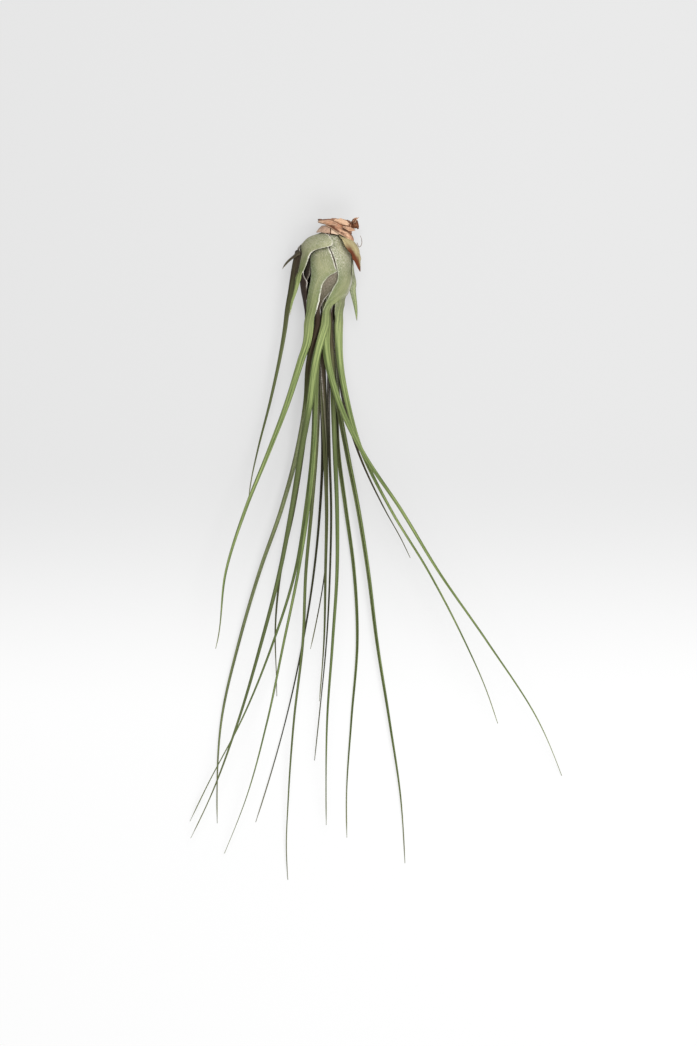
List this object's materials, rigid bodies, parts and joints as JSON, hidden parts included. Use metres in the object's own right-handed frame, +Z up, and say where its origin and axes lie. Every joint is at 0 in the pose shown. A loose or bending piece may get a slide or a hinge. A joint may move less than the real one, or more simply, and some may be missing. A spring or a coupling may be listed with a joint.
{
  "type": "tillandsia disticha air plant",
  "caption": "Loose air plant lying on a surface: a swollen base of grey-green sheaths, long arching thread-tipped leaves, and dried papery bracts at its head.",
  "frame": {"origin": "on the surface that the plant lies on, under the swollen base near its widest place", "axes": "+Y towards the stem end of the head, -Y along the leaves, +Z up from the surface, +X to the right seen from above"},
  "size_m": [0.1685, 0.2981, 0.0358],
  "materials": {
    "leaf_green": "matt living leaf with pale scales",
    "leaf_dark": "matt dark green leaf",
    "leaf_purple": "matt purple-brown leaf",
    "papery": "dry papery orange-brown bract",
    "woody": "dry brown stem and root"
  },
  "bodies": {
    "root": {"leaf_01": "leaf_green", "leaf_02": "leaf_purple", "leaf_03": "leaf_green", "leaf_04": "leaf_purple", "leaf_05": "leaf_green", "leaf_06": "leaf_green", "leaf_07": "leaf_green", "leaf_08": "leaf_dark", "leaf_09": "leaf_green", "leaf_10": "leaf_dark", "leaf_11": "leaf_dark", "leaf_12": "leaf_green", "leaf_13": "leaf_green", "leaf_14": "leaf_green", "leaf_15": "leaf_green", "leaf_16": "leaf_green", "leaf_17": "leaf_purple", "leaf_18": "leaf_purple", "short_leaf_front": "leaf_green", "short_leaf_right": "leaf_green", "short_bract_left": "leaf_purple", "dried_bract": "papery", "dried_husk": "papery", "dried_sheath": "papery", "root_hair": "woody", "stem": "woody"}
  },
  "joints": []
}
